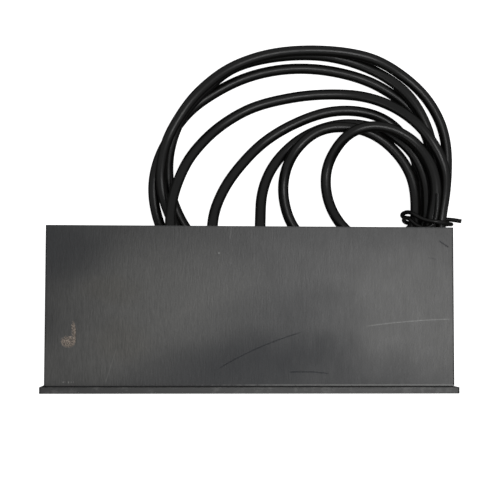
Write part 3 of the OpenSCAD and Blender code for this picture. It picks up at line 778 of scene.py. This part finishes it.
class BOOSTER_OT_leads(bpy.types.Operator):
    """Lay the three leads and the wire that ties them"""

    bl_idname = "booster.leads"
    bl_label = "Leads and tie"

    def execute(self, context):
        settings = context.scene.booster_leads
        width = settings.jacket_width
        sleeve = jacket(settings)
        tie_coat = jacket(settings, "tie_coat")
        tie, tie_length, tie_start = cord_curve(
            "bundle_tie", TIE_ROUTE, settings.tie_width, tie_coat
        )
        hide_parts("wire_tie")
        leads = (
            ("outdoor_antenna_lead", "outdoor_lead", OUTDOOR_ROUTE, "connector",
             ["outdoor_plug_shell", "outdoor_plug_contact", "outdoor_coupling_nut"]),
            ("indoor_antenna_lead", "indoor_lead", INDOOR_ROUTE, "connector",
             ["indoor_plug_shell", "indoor_plug_contact", "indoor_coupling_nut"]),
            ("dc_power_lead", "power_lead", POWER_ROUTE, "plug",
             ["power_plug_grip", "power_plug_barrel"]),
        )
        for name, node, route, far_end, ends in leads:
            lead, length, start = cord_curve(name, route, width, sleeve)
            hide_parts(node)
            ends + ([tie] if node == "outdoor_lead" else [])
        return {"FINISHED"}


class BOOSTER_OT_plugs(bpy.types.Operator):
    """Make the plugs on the leads' far ends"""

    bl_idname = "booster.plugs"
    bl_label = "Plugs"

    def execute(self, context):
        gold = plated("gold_plate", (0.80, 0.60, 0.27), 0.28)
        nickel = plated("nickel_plate", (0.62, 0.61, 0.58), 0.22)
        grip = moulded("plug_grip", (0.016, 0.016, 0.017), 0.45)
        shrink = moulded("shrink_sleeve", (0.012, 0.012, 0.012), 0.38, grit=0.8 * MM)
        inner = moulded("white_dielectric", (0.80, 0.79, 0.74), 0.35)
        for side, plug in (("outdoor", OUTDOOR_PLUG), ("indoor", INDOOR_PLUG)):
            place = Vector(plug) * MM
            shell = lathe(self.shell_profile(), 60, self.knurl)
            body = turned_piece(
                side + "_plug_shell", shell, place, (-1, 0, 0), gold
            )
            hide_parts(side + "_plug_body")
            cover = lathe(
                [(2.55 * MM, -6 * MM), (2.85 * MM, -5.6 * MM), (3.0 * MM, -1 * MM),
                 (3.45 * MM, 0.5 * MM), (3.5 * MM, 7 * MM), (3.3 * MM, 7.4 * MM)], 32
            )
            turned_piece(
                side + "_shrink_sleeve", cover, place, (-1, 0, 0), shrink
            )
            coat(inner, side + "_plug_contact")
            coat(gold, side + "_coupling_nut")
            break_edges(0.2 * MM, side + "_coupling_nut")
        place = Vector(POWER_PLUG) * MM
        handle = turned_piece(
            "power_plug_grip", lathe(self.grip_profile(), 48, self.flutes), place, (-1, 0, 0),
            grip
        )
        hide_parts("power_plug_handle")
        coat(nickel, "power_plug_barrel")
        return {"FINISHED"}

    @staticmethod
    def shell_profile():
        """Crimp sleeve, knurled body, neck, retaining ring and outer conductor."""
        steps = [(3.3, 0.2), (3.35, 8), (3.1, 8.2), (3.1, 11.8), (3.7, 12), (4, 12.3), (4, 17.2)]
        steps += [(3.7, 17.5), (2.6, 17.6), (2.6, 19.9), (2.9, 20), (2.9, 21), (2.3, 21.1)]
        steps += [(2.3, 24.4), (2.15, 24.5)]
        return [(r * MM, h * MM) for r, h in steps]

    @staticmethod
    def knurl(angle, height):
        if 12.2 * MM < height < 17.3 * MM:
            return 1.0 - 0.03 * (0.5 + 0.5 * math.cos(angle * 30))
        return 1.0

    @staticmethod
    def grip_profile():
        """Ribbed relief, then a handle with a rounded end."""
        steps = [(3.0, 0), (3.15, 0.3)]
        for k in range(5):
            low = 1.2 + k * 2.1
            radius = 3.2 + k * 0.27
            steps += [(radius, low), (radius + 0.05, low + 1.1)]
            steps += [(radius - 0.45, low + 1.3), (radius - 0.4, low + 1.9)]
        steps += [(4.5, 11.8), (5.2, 12.4), (5.4, 13.4), (5.1, 24), (4.9, 24.3), (4.9, 25)]
        steps += [(5.05, 25.3), (5.0, 31.2), (4.6, 31.8), (2.75, 32)]
        return [(r * MM, h * MM) for r, h in steps]

    @staticmethod
    def flutes(angle, height):
        if 13 * MM < height < 24.2 * MM:
            return 1.0 - 0.045 * max(0.0, math.cos(angle * 12))
        return 1.0


class BOOSTER_OT_boots(bpy.types.Operator):
    """Make the ribbed strain reliefs where the leads leave the glands"""

    bl_idname = "booster.boots"
    bl_label = "Strain reliefs"

    def execute(self, context):
        rubber = moulded("relief_rubber", (0.014, 0.014, 0.014), 0.55)
        for lead, route in (
            ("outdoor", OUTDOOR_ROUTE), ("indoor", INDOOR_ROUTE), ("power", POWER_ROUTE)
        ):
            node = lead + "_lead_boot"
            low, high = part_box(node)
            start = low.y - route[0][1] * MM
            profile = boot_profile(3.85 * MM, 2.95 * MM, start, 0.0, 6)
            place = Vector(route[0]) * MM
            boot = turned_piece(
                lead + "_strain_relief", lathe(profile, 36), place, (0, 1, 0), rubber,
            )
            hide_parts(node)
        return {"FINISHED"}


class BOOSTER_OT_case(bpy.types.Operator):
    """Finish the case, the front plate, the gasket and the screws"""

    bl_idname = "booster.case"
    bl_label = "Case"

    def execute(self, context):
        settings = context.scene.booster_case
        coat(case_paint(settings), "housing")
        coat(plate_paint(settings), "front_plate")
        coat(moulded("gasket_rubber", (0.012, 0.012, 0.012), 0.6), "front_gasket")
        coat(plated("black_oxide", (0.05, 0.05, 0.052), 0.35, dull=(0.09, 0.085, 0.08)),
             "front_screws", "rear_screws")
        break_edges(settings.edge_round, "front_plate")
        return {"FINISHED"}


class BOOSTER_OT_rear(bpy.types.Operator):
    """Finish the rear panel, its glands and the ground terminal"""

    bl_idname = "booster.rear"
    bl_label = "Rear panel"

    def execute(self, context):
        coat(powder_coat("rear_coat", (0.045, 0.045, 0.047)), "rear_panel")
        nickel = plated("gland_nickel", (0.58, 0.57, 0.54), 0.3)
        zinc = plated("zinc_plate", (0.62, 0.62, 0.60), 0.35)
        brass = plated("stud_brass", (0.68, 0.52, 0.26), 0.35)
        coat(nickel, "gland_bodies", "gland_lock_nuts", "gland_caps")
        coat(zinc, "ground_nuts", "ground_washer")
        break_edges(0.25 * MM, "gland_bodies", "gland_caps", "ground_nuts")
        low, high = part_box("ground_stud")
        place = Vector(((low.x + high.x) / 2, low.y, (low.z + high.z) / 2))
        length = high.y - low.y
        neck = length - 10 * MM
        profile = [(2.3 * MM, 0.0), (2.5 * MM, 0.2 * MM), (2.5 * MM, neck - 0.2 * MM)]
        profile += fine_thread(2.0 * MM, 0.7 * MM, neck, length, 0.35 * MM)
        mesh = lathe(profile, 32)
        stud = turned_piece("ground_terminal", mesh, place, (0, 1, 0), brass)
        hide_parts("ground_stud")
        return {"FINISHED"}


class BOOSTER_OT_feet(bpy.types.Operator):
    """Finish the rubber feet and their screws"""

    bl_idname = "booster.feet"
    bl_label = "Feet"

    def execute(self, context):
        rubber = moulded("foot_rubber", (0.018, 0.018, 0.018), 0.65)
        feet = [n for n in frame["nodes"] if n.startswith("foot_") and n != "foot_screws"]
        coat(rubber, *feet)
        coat(plated("foot_screw_steel", (0.60, 0.60, 0.58), 0.35), "foot_screws")
        return {"FINISHED"}


class BOOSTER_OT_controls(bpy.types.Operator):
    """Finish the button, the gain adjusters and the lights, and print their marks"""

    bl_idname = "booster.controls"
    bl_label = "Controls"

    def execute(self, context):
        plastic = moulded("control_plastic", (0.020, 0.020, 0.021), 0.42)
        knobs = ("uplink_gain_knob", "downlink_gain_knob")
        coat(plastic, "power_button", *knobs)
        break_edges(0.35 * MM, "power_button", *knobs)
        coat(clear_resin("light_pipe_resin", (0.75, 0.85, 0.80)), "light_pipes")
        ink = powder_coat("printed_ink", (0.62, 0.62, 0.60), grit=0.2 * MM)
        mesh = bmesh.new()
        thick = 0.06 * MM
        face = PLATE_LOW.y
        for name in knobs:
            low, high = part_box(name)
            x, z = (low.x + high.x) / 2, (low.z + high.z) / 2
            for k in range(11):
                turn = -135 + 27 * k
                angle = math.radians(turn)
                reach = 7.2 * MM
                centre = (x + reach * math.sin(angle), face - thick / 2, z + reach * math.cos(angle))
                length = 1.8 * MM if k in (0, 5, 10) else 1.2 * MM
                bar(mesh, centre, (0.4 * MM, thick, length), turn)
        low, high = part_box("power_button")
        x, z = (low.x + high.x) / 2, high.z + 4.2 * MM
        arc(mesh, (x, z), 1.5 * MM, 0.4 * MM, 35, 325, face, thick)
        bar(mesh, (x, face - thick / 2, z + 1.2 * MM), (0.4 * MM, thick, 1.7 * MM))
        low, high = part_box("light_pipes")
        for side in (low.x - 3 * MM, high.x + 3 * MM):
            bar(mesh, (side, face - thick / 2, z - 7.7 * MM), (0.35 * MM, thick, 5 * MM))
        data = bpy.data.meshes.new("front_marks")
        mesh.to_mesh(data)
        mesh.free()
        show("front_marks", data, ink)
        return {"FINISHED"}


class BOOSTER_OT_electronics(bpy.types.Operator):
    """Finish the boards and everything on them"""

    bl_idname = "booster.electronics"
    bl_label = "Electronics"

    def execute(self, context):
        coat(circuit_green(), "main_board", "control_board")
        coat(moulded("chip_epoxy", (0.014, 0.014, 0.015), 0.5), "board_chips", "board_header",
             "power_inductor", "filter_capacitors", "power_switch")
        coat(moulded("amplifier_ceramic", (0.55, 0.50, 0.38), 0.4), "uplink_amplifier",
             "downlink_amplifier")
        coat(moulded("gap_pad", (0.30, 0.44, 0.50), 0.7), "thermal_pads")
        coat(plated("machined_aluminium", (0.66, 0.67, 0.68), 0.38), "heat_spreader")
        coat(plated("tin_plate", (0.66, 0.66, 0.64), 0.3), "uplink_shield", "downlink_shield")
        coat(moulded("duplexer_ceramic", (0.62, 0.60, 0.54), 0.3), "outdoor_duplexer",
             "indoor_duplexer")
        coat(moulded("blue_plastic", (0.03, 0.06, 0.20), 0.4), "uplink_potentiometer",
             "downlink_potentiometer")
        coat(plated("socket_gold", (0.78, 0.58, 0.27), 0.3), "lead_sockets")
        coat(moulded("tail_dielectric", (0.78, 0.77, 0.72), 0.4), "inner_tails")
        coat(clear_resin("led_resin", (0.10, 0.55, 0.18)), "status_leds")
        return {"FINISHED"}


class BOOSTER_OT_stage(bpy.types.Operator):
    """Set the pale floor and the soft light"""

    bl_idname = "booster.stage"
    bl_label = "Stage"

    def execute(self, context):
        scene = context.scene
        scene.view_settings.view_transform = "Standard"
        world = bpy.data.worlds.new("studio")
        scene.world = world
        world.use_nodes = True
        sky = world.node_tree.nodes["Background"]
        sky.inputs["Color"].default_value = (1.0, 1.0, 1.0, 1.0)
        sky.inputs["Strength"].default_value = 1.0
        bpy.ops.mesh.primitive_plane_add(size=FLOOR_SIZE)
        floor = context.active_object
        floor.name = "floor"
        paper = Finish("white_paper", Roughness=0.9, Emission_Strength=0.93)
        paper.set("Base Color", (0.9, 0.9, 0.9))
        paper.set("Emission Color", (1.0, 1.0, 1.0))
        floor.data.materials.append(paper.material)
        # The bright floor is seen, but neither lights the booster nor shows in its gloss
        floor.visible_glossy = False
        floor.visible_diffuse = False
        self.walls(scene.booster_studio.sky)
        self.lamp("softbox", (0.25, 0.0, 1.2), 0.35, 3.2)
        self.lamp("fill", (-0.9, -0.9, 0.8), 0.8, 1.5)
        return {"FINISHED"}

    @staticmethod
    def walls(sky):
        """A shell round the booster that only lights it: bright above and dark below."""
        bpy.ops.mesh.primitive_uv_sphere_add(radius=WALLS_RADIUS)
        shell = bpy.context.active_object
        shell.name = "studio_walls"
        glow = Finish("studio_glow", Roughness=1.0, Emission_Strength=1.0)
        glow.set("Base Color", (0.0, 0.0, 0.0))
        x, y, z = glow.axes(glow.place())
        low, high = (0.04, 0.04, 0.04), (sky * 0.98, sky * 0.99, sky)
        glow.set("Emission Color", glow.mix(glow.between(z, -0.4, 0.2), low, high))
        shell.data.materials.append(glow.material)
        shell.visible_camera = False

    @staticmethod
    def lamp(name, place, size, power):
        """A square soft light that faces the booster."""
        lamp = bpy.data.objects.new(name, bpy.data.lights.new(name, "AREA"))
        bpy.context.scene.collection.objects.link(lamp)
        lamp.location = place
        aim = LAMP_TARGET - Vector(place)
        lamp.rotation_euler = aim.to_track_quat("-Z", "Y").to_euler()
        lamp.data.size = size
        lamp.data.energy = power


class BOOSTER_PT_panel(bpy.types.Panel):
    """The booster's settings and pieces"""

    bl_idname = "BOOSTER_PT_panel"
    bl_label = "Signal Booster"
    bl_space_type = "VIEW_3D"
    bl_region_type = "UI"
    bl_category = "Booster"

    def draw(self, context):
        for group in ("booster_case", "booster_leads", "booster_studio"):
            settings = getattr(context.scene, group)
            box = self.layout.box()
            for name in settings.__annotations__:
                box.prop(settings, name)
        for step in STEPS:
            self.layout.operator(step.bl_idname)


GROUPS = {
    "booster_case": BoosterCase,
    "booster_leads": BoosterLeads,
    "booster_studio": BoosterStudio,
}
STEPS = (
    BOOSTER_OT_camera,
    BOOSTER_OT_plugs,
    BOOSTER_OT_leads,
    BOOSTER_OT_boots,
    BOOSTER_OT_case,
    BOOSTER_OT_rear,
    BOOSTER_OT_feet,
    BOOSTER_OT_controls,
    BOOSTER_OT_electronics,
    BOOSTER_OT_stage,
)


def register():
    for kind in (*GROUPS.values(), *STEPS, BOOSTER_PT_panel):
        bpy.utils.register_class(kind)
    for name, kind in GROUPS.items():
        setattr(bpy.types.Scene, name, PointerProperty(type=kind))


def unregister():
    for name in GROUPS:
        delattr(bpy.types.Scene, name)
    for kind in (BOOSTER_PT_panel, *reversed(STEPS), *GROUPS.values()):
        bpy.utils.unregister_class(kind)


def main():
    register()
    for step in STEPS:
        group, name = step.bl_idname.split(".")
        getattr(getattr(bpy.ops, group), name)()


if __name__ == "__main__":
    main()
